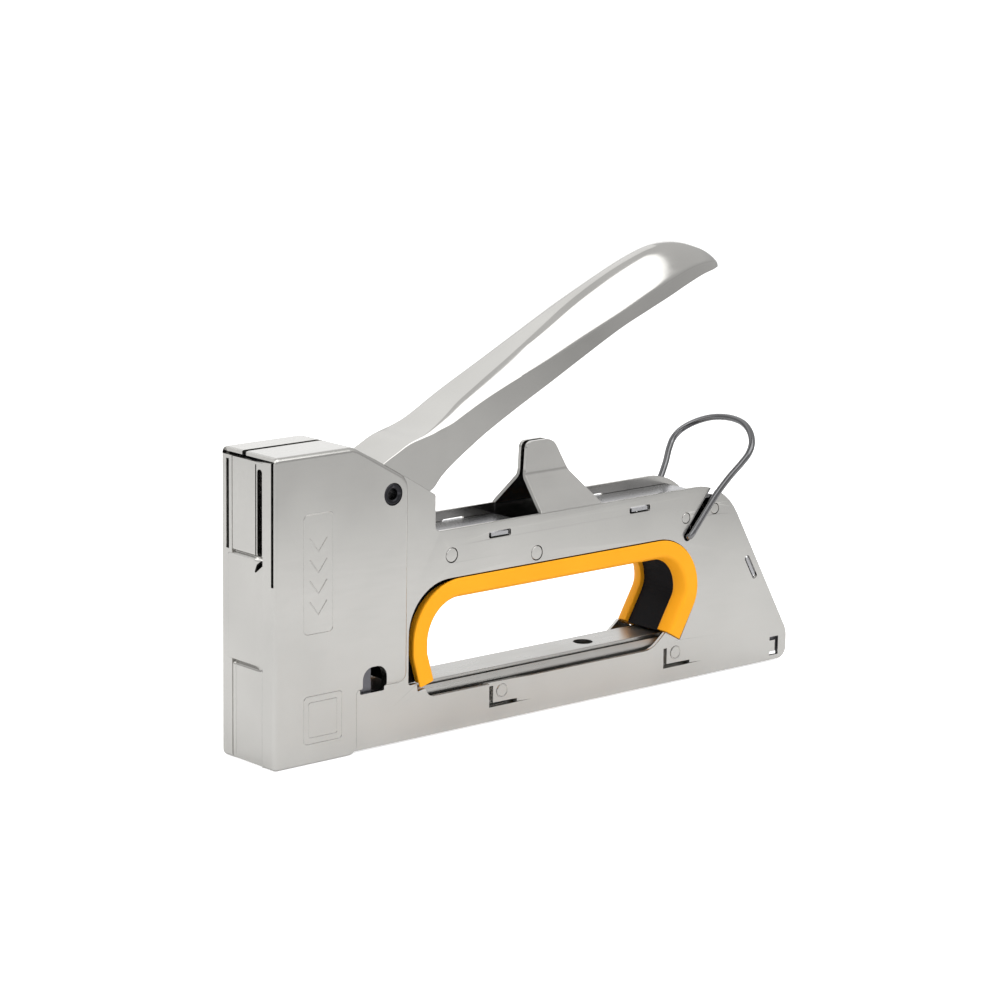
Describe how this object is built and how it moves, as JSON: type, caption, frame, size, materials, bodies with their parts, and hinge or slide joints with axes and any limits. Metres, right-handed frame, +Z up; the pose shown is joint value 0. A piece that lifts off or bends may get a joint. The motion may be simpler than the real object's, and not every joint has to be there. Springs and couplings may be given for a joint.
{
  "type": "staple gun",
  "caption": "Hand staple gun with a pressed steel body, squeeze handle, wire bail, orange grip trim and a sliding magazine.",
  "frame": {"origin": "under the middle of the gun, on the plane of the nose's foot", "axes": "+X from the nose to the rear end, +Y to the user's right, +Z up"},
  "size_m": [0.17, 0.0286, 0.1129],
  "materials": {
    "shell_steel": "bright nickel plate",
    "handle_steel": "bright nickel plate",
    "magazine_steel": "bright nickel plate",
    "spring_steel": "ground steel",
    "dark_steel": "hardened steel",
    "wire_steel": "drawn wire",
    "black_pin": "black oxide",
    "orange_trim": "fine matt",
    "black_plastic": "matt",
    "staple_wire": "galvanised"
  },
  "bodies": {
    "frame_body": {"left_shell": "shell_steel", "right_shell": "shell_steel", "nose_plate": "shell_steel", "nose_block": "dark_steel", "nose_block_pin": "spring_steel", "left_guide_plate": "spring_steel", "right_guide_plate": "spring_steel", "spring_cap": "dark_steel", "spring_guide_pin": "dark_steel", "striker_bumper": "black_plastic", "main_spring": "spring_steel", "handle_pivot_pin": "black_pin", "lever_return_spring": "spring_steel", "front_bridge": "spring_steel", "spine_plate": "spring_steel", "front_grip_pin": "shell_steel", "rear_grip_pin": "shell_steel", "front_rivet": "shell_steel", "rear_rivet": "shell_steel", "grip_core": "black_plastic", "left_grip_trim": "orange_trim", "right_grip_trim": "orange_trim", "magazine_channel": "magazine_steel", "staple_strip": "staple_wire"},
    "handle_body": {"handle": "handle_steel", "lifter_arm": "dark_steel", "left_lifter_spacer": "dark_steel", "right_lifter_spacer": "dark_steel"},
    "striker_body": {"striker_block": "dark_steel", "driver_blade": "spring_steel"},
    "bail_body": {"bail": "wire_steel"},
    "drawer_body": {"feed_rail": "spring_steel", "guide_rod": "spring_steel", "end_cap": "black_plastic", "follower_spring": "spring_steel"},
    "follower_body": {"follower": "dark_steel"},
    "left_latch_body": {"left_latch": "dark_steel"},
    "right_latch_body": {"right_latch": "dark_steel"}
  },
  "joints": [
    {"name": "handle_squeeze", "type": "hinge", "parent": "frame_body", "child": "handle_body", "pos_m": [-0.0499, 0, 0.0617], "axis": [0, 1, 0], "range_deg": [0, 25], "stiffness_Nm_per_rad": 0.4, "springref_deg": -22.92},
    {"name": "striker_lift", "type": "slide", "parent": "frame_body", "child": "striker_body", "axis": [0, 0, 1], "range_m": [0, 0.0085], "stiffness_N_per_m": 600, "springref_m": -0.008, "deforming": ["main_spring"]},
    {"name": "bail_swing", "type": "hinge", "parent": "frame_body", "child": "bail_body", "pos_m": [0.0478, 0, 0.0382], "axis": [0, 1, 0], "range_deg": [-10, 70]},
    {"name": "magazine_drawer", "type": "slide", "parent": "frame_body", "child": "drawer_body", "axis": [1, 0, 0], "range_m": [0, 0.115]},
    {"name": "follower_feed", "type": "slide", "parent": "drawer_body", "child": "follower_body", "axis": [1, 0, 0], "range_m": [0, 0.075], "stiffness_N_per_m": 20, "springref_m": -0.05, "deforming": ["follower_spring"]},
    {"name": "left_latch_press", "type": "hinge", "parent": "drawer_body", "child": "left_latch_body", "pos_m": [0.068, -0.0076, 0.0048], "axis": [0, 0, 1], "range_deg": [0, 3.5], "stiffness_Nm_per_rad": 0.05, "springref_deg": -5.73},
    {"name": "right_latch_press", "type": "hinge", "parent": "drawer_body", "child": "right_latch_body", "pos_m": [0.068, 0.0076, 0.0048], "axis": [0, 0, -1], "range_deg": [0, 3.5], "stiffness_Nm_per_rad": 0.05, "springref_deg": -5.73}
  ],
  "couplings": [
    {"joint": "striker_lift", "follows": "handle_squeeze", "m_per_rad": 0.0181},
    {"joint": "right_latch_press", "follows": "left_latch_press", "ratio": 1}
  ]
}
